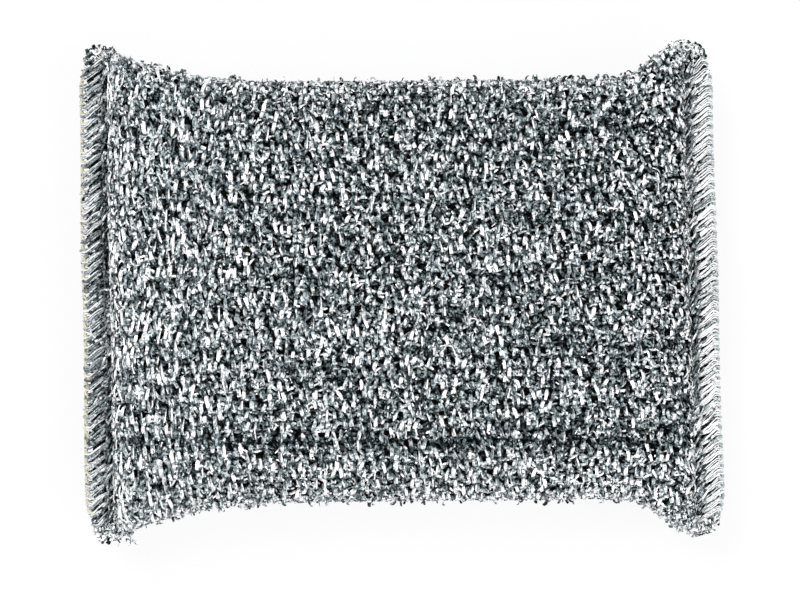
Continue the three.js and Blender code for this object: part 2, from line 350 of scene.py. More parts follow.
@dataclass(frozen=True)
class TapeFinish(Finish):
    """Flat metallised tape, whose brightness changes from loop to loop, from facet to facet and from one
    crumple cell to the next, as painted reflection of an even silver film, and darkens where it dives under,
    as painted shade.
    """

    darkest: float = 0.05
    lightest: float = 0.99
    crumple_size: float = mm(0.5)
    crumple_contrast: float = 0.34
    crease_size: float = mm(0.27)
    crease_contrast: float = 0.18
    crumple_gain: float = 0.3
    root_shade: float = 0.42
    bump_size: float = mm(0.28)
    bump_depth: float = mm(0.05)

    def make(self) -> bpy.types.Material:
        """Makes the material.

        Returns:
            The material.
        """
        material, tree, shader = self.start()
        # Painted reflection and shade: each loop's tone times the painted light of each facet.
        tone = self.math(tree, "MULTIPLY", self.attribute(tree, "tone"), self.attribute(tree, "facet"))
        rise = self.attribute(tree, "rise")
        place = self.node(tree, "ShaderNodeTexCoord").outputs["Object"]
        # Painted reflection: each crumple cell, and each finer crease cell, gets a brightness of its own.
        cells = self.node(tree, "ShaderNodeTexVoronoi", Vector=place, Scale=1.0 / self.crumple_size)
        crinkle = self.node(tree, "ShaderNodeSeparateColor", Color=cells.outputs["Color"]).outputs["Red"]
        crumpled = self.mapped(tree, crinkle, -self.crumple_contrast, self.crumple_gain)
        loop = self.math(tree, "ADD", tone, crumpled)
        fine = self.node(tree, "ShaderNodeTexVoronoi", Vector=place, Scale=1.0 / self.crease_size)
        crease = self.node(tree, "ShaderNodeSeparateColor", Color=fine.outputs["Color"]).outputs["Green"]
        creased = self.mapped(tree, crease, -self.crease_contrast, self.crease_contrast)
        loop = self.math(tree, "ADD", loop, creased)
        # Painted shade: darker towards where the tape dives into the knit.
        level = self.math(tree, "MULTIPLY", loop, self.mapped(tree, rise, self.root_shade, 1.0))
        span = self.lightest - self.darkest
        levels = (0.0, 0.25, 0.5, 0.75, 1.0)
        colour = self.ramp(tree, level, [(at, grey_blue(self.darkest + span * at)) for at in levels])
        tree.links.new(colour, shader.inputs["Base Color"])
        dull = self.mapped(tree, crinkle, self.roughness - 0.12, self.roughness + 0.16)
        tree.links.new(dull, shader.inputs["Roughness"])
        self.bump(tree, shader, self.grain(tree, self.bump_size, 2.0), self.bump_depth)
        return material


@dataclass(frozen=True)
class ShadedGroundFinish(Finish):
    """Deep part of the knit as painted shade: a dark sheet in place of the shaded tape deep in the knit, with
    specks of the foam behind it.
    """

    dark: Colour = grey_blue(0.05)
    grey: Colour = grey_blue(0.2)
    foam: Colour = (0.012, 0.011, 0.005)

    def make(self) -> bpy.types.Material:
        """Makes the material.

        Returns:
            The material.
        """
        material, tree, shader = self.start()
        speck = self.grain(tree, mm(0.7), 2.0)
        # Painted shade: near black, with darker foam specks and some grey.
        stops = [(0.36, self.foam), (0.46, self.dark), (0.58, self.dark), (0.68, self.grey)]
        tree.links.new(self.ramp(tree, speck, stops), shader.inputs["Base Color"])
        self.bump(tree, shader, speck, mm(0.4))
        return material


@dataclass(frozen=True)
class FoamFinish(Finish):
    """Open-cell foam: matt, with painted shade in its small pores."""

    light: Colour = (0.105, 0.108, 0.082)
    dark: Colour = (0.02, 0.021, 0.014)

    def make(self) -> bpy.types.Material:
        """Makes the material.

        Returns:
            The material.
        """
        material, tree, shader = self.start()
        place = self.node(tree, "ShaderNodeTexCoord").outputs["Object"]
        cells = self.node(tree, "ShaderNodeTexVoronoi", Vector=place, Scale=1.0 / mm(0.9)).outputs["Distance"]
        mottled = self.math(tree, "MULTIPLY", cells, self.mapped(tree, self.grain(tree, mm(5.0)), 0.8, 1.3))
        # Painted shade: darker at the middle of each small pore cell.
        colour = self.ramp(tree, mottled, [(0.1, self.dark), (0.32, self.light)])
        tree.links.new(colour, shader.inputs["Base Color"])
        self.bump(tree, shader, mottled, mm(0.4))
        return material


@dataclass(frozen=True)
class ThreadFinish(Finish):
    """Spun or bulked thread, with fine fibres and a tone of its own for each strand."""

    dark: Colour = grey_blue(0.2)
    middle: Colour = grey_blue(0.62)
    light: Colour = grey_blue(0.98)

    def make(self) -> bpy.types.Material:
        """Makes the material.

        Returns:
            The material.
        """
        material, tree, shader = self.start()
        tone = self.attribute(tree, "tone")
        fibre = self.grain(tree, mm(0.35), 3.0)
        uneven = self.math(tree, "MULTIPLY_ADD", fibre, 1.8)
        uneven.node.inputs[2].default_value = -0.9
        level = self.math(tree, "ADD", tone, uneven)
        colour = self.ramp(tree, level, [(0.05, self.dark), (0.5, self.middle), (0.95, self.light)])
        tree.links.new(colour, shader.inputs["Base Color"])
        dull = self.mapped(tree, fibre, self.roughness - 0.1, self.roughness + 0.15)
        tree.links.new(dull, shader.inputs["Roughness"])
        self.bump(tree, shader, self.grain(tree, mm(0.12), 2.0), mm(0.05))
        return material


TAPE = TapeFinish("metallised_tape", "metallised_knit", roughness=0.34, metallic=0.55, specular=0.1)
SHADED_GROUND = ShadedGroundFinish("knit_ground", "metallised_knit", roughness=0.8, specular=0.0)
FOAM = FoamFinish("open_cell_foam", "foam", roughness=0.95, specular=0.2)
SILVER_THREAD = ThreadFinish(
    "silver_overlock_thread", "overlock_thread", roughness=0.42, metallic=0.3, sheen=0.15
)
SILVER_EDGE_THREAD = ThreadFinish(
    "silver_edge_thread", "edge_thread", roughness=0.6,
    dark=grey_blue(0.3), middle=grey_blue(0.66), light=grey_blue(0.85),
)
CREAM_THREAD = ThreadFinish(
    "cream_edge_thread", "edge_thread", roughness=0.75, sheen=0.2,
    dark=(0.3, 0.28, 0.17), middle=(0.66, 0.63, 0.44), light=(0.82, 0.8, 0.66),
)


def new_object(name: str, mesh: bpy.types.Mesh) -> bpy.types.Object:
    """Puts a mesh into the scene at the origin."""
    piece = bpy.data.objects.new(name, mesh)
    bpy.context.scene.collection.objects.link(piece)
    return piece


def mesh_of(name: str, points: Array, faces: list[tuple[int, ...]]) -> bpy.types.Mesh:
    """Makes a mesh from points and faces."""
    mesh = bpy.data.meshes.new(name)
    mesh.from_pydata([tuple(point) for point in points.reshape(-1, 3)], [], faces)
    mesh.update()
    return mesh


def store(
    mesh: bpy.types.Mesh, name: str, values: Array, kind: str = "FLOAT", domain: str = "POINT"
) -> None:
    """Stores numbers or vectors on a mesh under a name."""
    field_name = "vector" if kind == "FLOAT_VECTOR" else "value"
    mesh.attributes.new(name, kind, domain).data.foreach_set(field_name, np.ravel(values))


def ring_faces(rings: int, around: int) -> list[tuple[int, ...]]:
    """Faces of a closed tube of rings, with a face over each end."""
    faces = []
    for i in range(rings - 1):
        for j in range(around):
            k = (j + 1) % around
            faces.append((i * around + j, i * around + k, (i + 1) * around + k, (i + 1) * around + j))
    last = (rings - 1) * around
    faces.append(tuple(range(around - 1, -1, -1)))
    faces.append(tuple(last + j for j in range(around)))
    return faces


def tape_rings(path: Array, width: Array, roll: Array, fold: Array, thickness: float) -> Array:
    """Corners of a tape that is creased lengthwise, along a path.

    Args:
        path: Points of the middle of the tape.
        width: Width of the tape at each point.
        roll: Turn of the tape about its own run at each point, in radians.
        fold: Place of the crease across the width at each point, from -1 to 1.
        thickness: Height of the crease over the edges of the tape.

    Returns:
        Three corners for each point of the path, the crease first.
    """
    run = np.gradient(path, axis=0)
    run /= np.linalg.norm(run, axis=1, keepdims=True)
    side = np.cross(run, np.array([0.0, 0.0, 1.0]))
    side /= np.maximum(np.linalg.norm(side, axis=1, keepdims=True), 1e-9)
    face = np.cross(side, run)
    turned = side * np.cos(roll)[:, None] + face * np.sin(roll)[:, None]
    across = turned * (width / 2)[:, None]
    over = np.cross(turned, run) * thickness
    return np.stack([path + across * fold[:, None] + over, path + across, path - across], axis=1)


def painted_facet_light(rings: int, draw: np.random.Generator) -> Array:
    """Painted light of each face of a creased tape, as a share of the tape's own tone: painted reflection
    that differs at random, painted shade on one roof facet, the underside and the end caps, and now and then
    a dark band.

    Args:
        rings: Number of points along the tape.
        draw: Source of chance.

    Returns:
        One number for each face, in the order of ring_faces.
    """
    light = np.clip(draw.normal(1.0, 0.2, (rings - 1, TAPE_CORNERS)), 0.2, 1.35)
    # Painted shade: one roof facet is darker, the underside and end caps are dark, and sometimes a whole step
    # of the tape is darker.
    light[:, draw.choice([0, 2])] *= draw.uniform(0.35, 0.9)
    light[:, 1] = 0.3
    if draw.uniform() < 0.5:
        light[draw.integers(0, rings - 1)] *= draw.uniform(0.15, 0.6)
    return np.concatenate([light.ravel(), [0.3, 0.3]])


class NodeModel:
    """A Geometry Nodes tree that is built step by step, then applied to a source object."""

    def __init__(self, name: str) -> None:
        """Starts an empty tree with a geometry input and output."""
        self.tree = bpy.data.node_groups.new(name, "GeometryNodeTree")
        self.tree.is_modifier = True
        self.identifiers: dict[str, str] = {}
        self.tree.interface.new_socket("Geometry", in_out="INPUT", socket_type="NodeSocketGeometry")
        self.tree.interface.new_socket("Geometry", in_out="OUTPUT", socket_type="NodeSocketGeometry")
        self.source = self.tree.nodes.new("NodeGroupInput")
        self.result = self.tree.nodes.new("NodeGroupOutput")

    def size(self, name: str, kind: str = "NodeSocketFloat") -> Socket:
        """Adds a named input and returns its socket inside the tree."""
        socket = self.tree.interface.new_socket(name, in_out="INPUT", socket_type=kind)
        self.identifiers[name] = socket.identifier
        return self.source.outputs[name]

    def node(self, kind: str, settings: dict | None = None, **inputs: object) -> bpy.types.Node:
        """Adds a node, as Finish.node does."""
        return Finish.node(self.tree, kind, settings, **inputs)

    def named(self, name: str, kind: str = "FLOAT_VECTOR") -> Socket:
        """A named attribute of the geometry."""
        read = self.node("GeometryNodeInputNamedAttribute", {"data_type": kind}, Name=name)
        return read.outputs["Attribute"]

    def math(self, operation: str, first: object, second: object = 0.0) -> Socket:
        """Result of an operation on numbers, as Finish.math gives it."""
        return Finish.math(self.tree, operation, first, second)

    def scaled(self, vector: Socket, factor: object) -> Socket:
        """A vector times a number."""
        made = self.node("ShaderNodeVectorMath", {"operation": "SCALE"}, Vector=vector, Scale=factor)
        return made.outputs["Vector"]

    def kept_above(self, geometry: Socket, height: Socket) -> Socket:
        """Lifts every point that is lower than a height up to it."""
        position = self.node("GeometryNodeInputPosition").outputs["Position"]
        place = self.node("ShaderNodeSeparateXYZ", Vector=position).outputs
        raised = self.math("MAXIMUM", place["Z"], height)
        target = self.node("ShaderNodeCombineXYZ", X=place["X"], Y=place["Y"], Z=raised)
        moved = self.node("GeometryNodeSetPosition", Geometry=geometry, Position=target.outputs["Vector"])
        return moved.outputs["Geometry"]

    def end(self, geometry: Socket) -> None:
        """Ends the tree, with every instance made real and one material on it all."""
        real = self.node("GeometryNodeRealizeInstances", Geometry=geometry).outputs["Geometry"]
        material = self.size("Material", "NodeSocketMaterial")
        dressed = self.node("GeometryNodeSetMaterial", Geometry=real, Material=material)
        self.tree.links.new(dressed.outputs["Geometry"], self.result.inputs["Geometry"])

    def apply(self, source: bpy.types.Object, name: str, values: dict[str, object]) -> bpy.types.Object:
        """Runs the tree on a source object and keeps the result as a plain mesh.

        Args:
            source: Object whose geometry goes into the tree. It is removed afterwards.
            name: Name of the piece.
            values: Value of each named input.

        Returns:
            The finished piece.
        """
        modifier = source.modifiers.new("model", "NODES")
        modifier.node_group = self.tree
        for key, value in values.items():
            modifier[self.identifiers[key]] = value
        depsgraph = bpy.context.evaluated_depsgraph_get()
        evaluated = source.evaluated_get(depsgraph)
        mesh = bpy.data.meshes.new_from_object(evaluated, preserve_all_data_layers=True, depsgraph=depsgraph)
        mesh.name = name
        bpy.data.objects.remove(source)
        return new_object(name, mesh)


@dataclass
class KnittedCover:
    """The knit: loops of flat tape over a dark ground of painted shade, in rows around the pad."""

    shape: PadShape
    course_pitch: float = mm(1.56)
    wale_pitch: float = mm(2.06)
    tape_width: float = mm(0.84)
    tape_thickness: float = mm(0.18)
    loop_height: float = mm(0.64)
    site_depth: float = mm(0.62)
    ground_depth: float = mm(1.2)
    loop_half: float = mm(1.3)
    loop_sway: float = mm(1.0)
    root_depth: float = mm(0.5)
    crossing_half: tuple[float, float] = (mm(0.82), mm(0.78))
    crossing_height: float = mm(0.54)
    crossing_root: float = mm(0.58)
    sliver_half: float = mm(0.6)
    sliver_height: float = mm(0.62)
    shapes: int = 9
    wobble: float = 0.3
    cell_margin: float = 0.08
    ground_grid: tuple[int, int] = (150, 128)
    crossings: tuple[tuple[float, float], ...] = ((0.25, 0.5), (0.6, 0.1))
    sliver_share: float = 1.0
    standing_tone: tuple[float, float] = (1.12, 0.34)
    crossing_tone: tuple[float, float] = (0.1, 1.4)
    crossing_lean: float = 0.4
    sliver_lean: float = 1.3
    skin_step: float = 0.002
    rest_zone: tuple[float, float] = (mm(1.4), mm(0.8))
    rest_flattening: float = 0.45
    left_zone: tuple[float, float] = (mm(-28.0), mm(16.0))
    left_growth: float = 0.28
    right_zone: tuple[float, float] = (mm(20.0), mm(20.0))
    right_shrink: float = 0.1
    line_zone: tuple[float, float] = (mm(8.0), mm(18.0))
    line_widths: tuple[float, float] = (mm(0.9), mm(0.8))
    below_zone: float = mm(2.0)
    painted_edge_light: float = 0.5
    right_light: float = 0.08
    painted_below_light: float = 0.07
    painted_line_shade: float = 0.6
    tuck_lines: tuple[float, ...] = (mm(31.8), mm(13.6), mm(3.2), mm(-10.8), mm(-26.8))
    seed: int = 11

    def build(self) -> None:
        """Builds the ground and the four panels of loops."""
        self.ground()
        variants = self.loop_shapes()
        model = self.loop_model()
        sites = self.loop_sites()
        for face in Face:
            for side in Side:
                self.panel(face, side, sites, model, variants)
        for template in list(variants.objects):
            bpy.data.objects.remove(template)
        bpy.data.collections.remove(variants)

    def ground(self) -> None:
        """Builds the closed skin that lies under the loops, dark as painted shade of the deep knit."""
        rings, around = self.ground_grid
        along, turn = np.meshgrid(np.linspace(0, 1, rings), np.arange(around) / around, indexing="ij")
        points = self.shape.skin(along, turn, self.ground_depth)
        mesh = mesh_of("knit_ground", points, ring_faces(rings, around))
        mesh.shade_smooth()
        mesh.materials.append(SHADED_GROUND.make())
        piece = new_object("knit_ground", mesh)
        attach(piece, "root")
        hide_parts("knitted_cover")
        LOG.info("knit_ground: %d faces", len(mesh.polygons))

    def loop_shapes(self) -> bpy.types.Collection:
        """Makes the few tape shapes that every loop is one of.

        Returns:
            A collection with standing loops first and crossing ones after them.
        """
        variants = bpy.data.collections.new("tape_shapes")
        draw = np.random.default_rng(self.seed)
        for k in range(self.shapes):
            lean, bow, twist = draw.uniform(-0.3, 0.3), draw.uniform(-0.34, 0.34), draw.uniform(-0.5, 0.5)
            t = np.linspace(-1, 1, 6)
            rise = np.abs(np.cos(t * math.pi / 2)) ** 0.62
            x = self.loop_sway * (lean * t + bow * (rise - 0.5))
            z = self.loop_height * rise - self.root_depth + mm(0.07) * draw.uniform(-1, 1, 6)
            path = np.stack([x, self.loop_half * t, z], axis=1)
            roll = twist + 0.32 * draw.uniform(-1, 1, 6)
            width = self.tape_width * (0.72 + 0.28 * rise) * draw.uniform(0.85, 1.1)
            self.shape_object(variants, f"loop_a{k}", path, width, roll, rise, draw)
        for k in range(self.shapes):
            swing, twist = draw.uniform(0.3, 1.2) * draw.choice([-1, 1]), draw.uniform(-0.5, 0.5)
            t = np.linspace(-1, 1, 4)
            rise = np.cos(t * math.pi / 2)
            z = self.crossing_height * rise - self.crossing_root + mm(0.06) * draw.uniform(-1, 1, 4)
            path = np.stack([self.crossing_half[0] * t, self.crossing_half[1] * swing * t, z], axis=1)
            roll = twist + 0.45 * draw.uniform(-1, 1, 4)
            width = np.full(4, self.tape_width * draw.uniform(0.6, 0.9))
            self.shape_object(variants, f"loop_b{k}", path, width, roll, 0.3 + 0.7 * rise, draw)
        for k in range(self.shapes):
            t = np.linspace(-1, 1, 3)
            rise = np.array([0.35, 1.0, 0.35])
            x = mm(0.15) * draw.uniform(-1, 1, 3)
            z = self.sliver_height * rise - self.root_depth
            path = np.stack([x, self.sliver_half * t, z], axis=1)
            width = self.tape_width * draw.uniform(0.3, 0.6, 3)
            roll = draw.uniform(-0.9, 0.9, 3)
            self.shape_object(variants, f"loop_c{k}", path, width, roll, 0.5 + 0.5 * rise, draw)
        return variants

    def shape_object(
        self, variants: bpy.types.Collection, name: str, path: Array, width: Array, roll: Array, rise: Array,
        draw: np.random.Generator,
    ) -> None:
        """Adds one tape shape, with its height share, which also sets its painted root shade, the painted
        light of each facet and its own flat layout.
        """
        fold = np.cumsum(draw.uniform(-0.35, 0.35, len(path))) + draw.uniform(-0.4, 0.4)
        corners = tape_rings(path, width, roll, np.clip(fold, -0.75, 0.75), self.tape_thickness)
        mesh = mesh_of(name, corners, ring_faces(len(path), TAPE_CORNERS))
        store(mesh, "rise", np.repeat(rise, TAPE_CORNERS))
        store(mesh, "facet", painted_facet_light(len(path), draw), domain="FACE")
        layout = mesh.attributes.new("patch", "FLOAT_VECTOR", "CORNER")
        rows = len(path) - 1
        for polygon in mesh.polygons:
            inside = polygon.index < TAPE_CORNERS * rows
            row, column = divmod(polygon.index, TAPE_CORNERS) if inside else (0, 0)
            for corner, (u, v) in zip(polygon.loop_indices, ((0, 0), (1, 0), (1, 1), (0, 1))):
                layout.data[corner].vector = ((column + u) / TAPE_CORNERS, (row + v) / rows, 0.0)
        variants.objects.link(bpy.data.objects.new(name, mesh))

    def loop_model(self) -> NodeModel:
        """Builds the tree that sets a tape shape on each site.

        Returns:
            The tree, with its inputs named.
        """
        model = NodeModel("knit_loops")
        shapes = model.size("Shapes", "NodeSocketCollection")
        wobble = model.size("Wobble")
        seed = model.size("Seed", "NodeSocketInt")
        cells = model.size("Cells Across")
        floor = model.size("Lowest Height")
        info = model.node(
            "GeometryNodeCollectionInfo", Collection=shapes, Separate_Children=True, Reset_Children=True
        )
        aim = model.node(
            "FunctionNodeAxesToRotation", {"primary_axis": "Z", "secondary_axis": "Y"},
            Primary_Axis=model.named("facing"), Secondary_Axis=model.named("run"),
        )
        chance = model.node(
            "FunctionNodeRandomValue", {"data_type": "FLOAT_VECTOR"}, _0=(-1, -1, -1), _1=(1, 1, 1), Seed=seed
        ).outputs["Value"]
        loose = model.node("FunctionNodeEulerToRotation", Euler=model.scaled(chance, wobble))
        turned = model.node(
            "FunctionNodeRotateRotation", {"rotation_space": "LOCAL"},
            Rotation=aim.outputs["Rotation"], Rotate_By=loose.outputs["Rotation"],
        )
        placed = model.node(
            "GeometryNodeInstanceOnPoints",
            Points=model.source.outputs["Geometry"], Instance=info.outputs["Instances"],
            Pick_Instance=True, Instance_Index=model.named("shape", "INT"),
            Rotation=turned.outputs["Rotation"], Scale=model.named("swell"),
        )
        real = model.node("GeometryNodeRealizeInstances", Geometry=placed.outputs["Instances"])
        model.end(self.flat_layout(model, model.kept_above(real.outputs["Geometry"], floor), cells))
        return model

    def flat_layout(self, model: NodeModel, geometry: Socket, cells: Socket) -> Socket:
        """Lays every loop flat in a cell of its own, for a bake of the finish."""
        cell = model.named("cell", "FLOAT")
        column = model.math("FLOORED_MODULO", cell, cells)
        row = model.math("FLOOR", model.math("DIVIDE", cell, cells))
        corner = model.node("ShaderNodeCombineXYZ", X=column, Y=row).outputs["Vector"]
        margin = (self.cell_margin, self.cell_margin, 0.0)
        inner = model.scaled(model.named("patch"), 1.0 - 2 * self.cell_margin)
        padded = model.node("ShaderNodeVectorMath", _0=inner, _1=margin).outputs["Vector"]
        total = model.node("ShaderNodeVectorMath", _0=corner, _1=padded).outputs["Vector"]
        place = model.scaled(total, model.math("DIVIDE", 1.0, cells))
        stored = model.node(
            "GeometryNodeStoreNamedAttribute", {"data_type": "FLOAT2", "domain": "CORNER"},
            Geometry=geometry, Name="OFBake", Value=place,
        )
        return stored.outputs["Geometry"]

    def loop_sites(self) -> dict[str, Array]:
        """Places of all loops over the whole cover, with what each loop is like.

        Returns:
            Arrays by name, one row for each loop.
        """
        draw = np.random.default_rng(self.seed + 1)
        columns = round(self.shape.profile_length / self.course_pitch)
        rows = 2 * round(self.shape.girth / self.wale_pitch / 2)
        column, row = np.meshgrid(np.arange(columns), np.arange(rows), indexing="ij")
        column, row = column.ravel(), row.ravel()
        count = len(column)
        along = (column + 0.25 + 0.5 * (row % 2) + draw.uniform(-0.3, 0.3, count)) / columns
        around = (row + draw.uniform(-0.27, 0.27, count)) / rows
        # Painted reflection: loop tones spread from dark to bright in place of the reflections of the even
        # silver tape.
        tone = np.clip(draw.normal(*self.standing_tone, count), 0.15, 1.6)
        standing = self.site_rows(along, around, tone, draw.integers(0, self.shapes, count), draw)
        layers = [standing]
        for over, beside in self.crossings:
            places = along + over / columns, around + beside / rows
            kind = self.shapes + draw.integers(0, self.shapes, count)
            # Painted shade: crossing loops lie deeper and are darker on average.
            crossing_tone = draw.uniform(*self.crossing_tone, count)
            layers.append(self.site_rows(*places, crossing_tone, kind, draw, self.crossing_lean))
        loose = round(count * self.sliver_share)
        # Painted reflection: loose slivers are either dark or bright.
        dark = draw.uniform(size=loose) < 0.5
        sliver_tone = np.where(dark, draw.uniform(0.0, 0.4, loose), draw.uniform(1.0, 1.5, loose))
        slivers = self.site_rows(
            draw.uniform(0.02, 1.0, loose) ** 0.8 * 0.98, draw.uniform(0.0, 1.0, loose), sliver_tone,
            2 * self.shapes + draw.integers(0, self.shapes, loose), draw, self.sliver_lean,
        )
        layers.append(slivers)
        return {key: np.concatenate([layer[key] for layer in layers]) for key in standing}

    def site_rows(
        self, along: Array, around: Array, tone: Array, kind: Array, draw: np.random.Generator,
        lean: float = 0.0,
    ) -> dict[str, Array]:
        """Works out where loops stand on the skin and how they are turned.

        Args:
            along: Places along the pad.
            around: Places around it.
            tone: Brightness of each loop.
            kind: Which tape shape each loop is.
            draw: Source of chance.
            lean: How far loops may turn away from the way around the pad, in radians.

        Returns:
            Arrays by name, one row for each loop.
        """
        along = np.clip(along, 0.004, 0.996)
        step, depth = self.skin_step, self.site_depth
        skin = self.shape.skin
        point = skin(along, around, depth)
        over = skin(along + step, around, depth) - skin(along - step, around, depth)
        run = skin(along, around + step, depth) - skin(along, around - step, depth)
        facing = np.cross(over, run)
        facing *= np.sign(np.einsum("ij,ij->i", facing, point - self.shape.settle(0.0, 0.0, 0.0)))[:, None]
        facing /= np.maximum(np.linalg.norm(facing, axis=1, keepdims=True), 1e-12)
        run /= np.maximum(np.linalg.norm(run, axis=1, keepdims=True), 1e-12)
        turn = draw.uniform(-lean, lean, len(along))[:, None]
        run = run * np.cos(turn) + np.cross(facing, run) * np.sin(turn)
        flat = np.clip((self.rest_zone[0] - point[:, 2]) / self.rest_zone[1], 0.0, 1.0)
        swell = draw.uniform(0.86, 1.18, (len(along), 3))
        near_left = np.clip((self.left_zone[0] - point[:, 0]) / self.left_zone[1], 0.0, 1.0)
        near_right = np.clip((point[:, 0] - self.right_zone[0]) / self.right_zone[1], 0.0, 1.0)
        swell[:, 1] *= 1.0 + self.left_growth * near_left - self.right_shrink * near_right
        swell[:, 2] *= 1.0 - self.rest_flattening * flat
        upper = np.mod(around, 1.0) < 0.5
        # Painted light: loops that face sideways, over the folds, are made lighter; loops near the right end
        # are a little lighter.
        tone = tone + self.painted_edge_light * (1.0 - np.abs(facing[:, 2])) + self.right_light * near_right
        # Painted shade: loops in the faint lines along the crease and the tucks are made darker.
        tone = tone * (1.0 - self.painted_line_shade * self.lines(point, upper))
        # Painted light: loops just below the crease on the upper face are made lighter.
        under_crease = -self.shape.crease_from_middle - self.below_zone - point[:, 1]
        below = np.clip(under_crease / self.below_zone, 0.0, 1.0)
        tone = tone + self.painted_below_light * below * upper
        return {
            "point": point, "facing": facing, "run": run, "tone": tone, "shape": kind,
            "swell": swell, "upper": upper, "left": point[:, 0] < 0.0,
        }

    def lines(self, point: Array, upper: Array) -> Array:
        """How far each loop is in one of the faint lines of painted shade across the upper face, along the
        crease and the tucks, from 0 to 1.
        """
        fade = np.clip((point[:, 0] - self.line_zone[0]) / self.line_zone[1], 0.0, 1.0)
        wide, narrow = self.line_widths
        crease = np.exp(-(((point[:, 1] + self.shape.crease_from_middle) / wide) ** 2))
        short = sum(np.exp(-(((point[:, 1] - place) / narrow) ** 2)) for place in self.tuck_lines)
        return np.where(upper, np.clip(crease + 0.8 * fade * short, 0.0, 1.0), 0.0)

    def panel(
        self, face: Face, side: Side, sites: dict[str, Array], model: NodeModel,
        variants: bpy.types.Collection,
    ) -> None:
        """Builds the loops of one face and half of the pad."""
        chosen = (sites["upper"] == (face is Face.UPPER)) & (sites["left"] == (side is Side.LEFT))
        kept = {key: values[chosen] for key, values in sites.items()}
        count = len(kept["tone"])
        name = f"{face.value}_knit_{side.name.lower()}"
        mesh = mesh_of(name + "_sites", kept["point"], [])
        kept["cell"] = np.arange(count, dtype=float)
        for key in ("facing", "run", "swell"):
            store(mesh, key, kept[key], "FLOAT_VECTOR")
        for key in ("tone", "cell"):
            store(mesh, key, kept[key])
        store(mesh, "shape", kept["shape"].astype(np.int32), "INT")
        values = {
            "Shapes": variants, "Wobble": self.wobble, "Lowest Height": LOWEST_HEIGHT, "Seed": self.seed,
            "Cells Across": float(math.ceil(math.sqrt(count))),
            "Material": bpy.data.materials.get(TAPE.name) or TAPE.make(),
        }
        piece = model.apply(new_object(name + "_sites", mesh), name, values)
        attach(piece, "root")
        LOG.info("%s: %d loops, %d faces", name, count, len(piece.data.polygons))


# Curled ends at each corner, by its side and the sign of its Y. The lower left one is the fullest.
LOWER_LEFT = (Side.LEFT, -1)
CORNER_CURLS = {LOWER_LEFT: 120, (Side.LEFT, 1): 110, (Side.RIGHT, -1): 100, (Side.RIGHT, 1): 110}


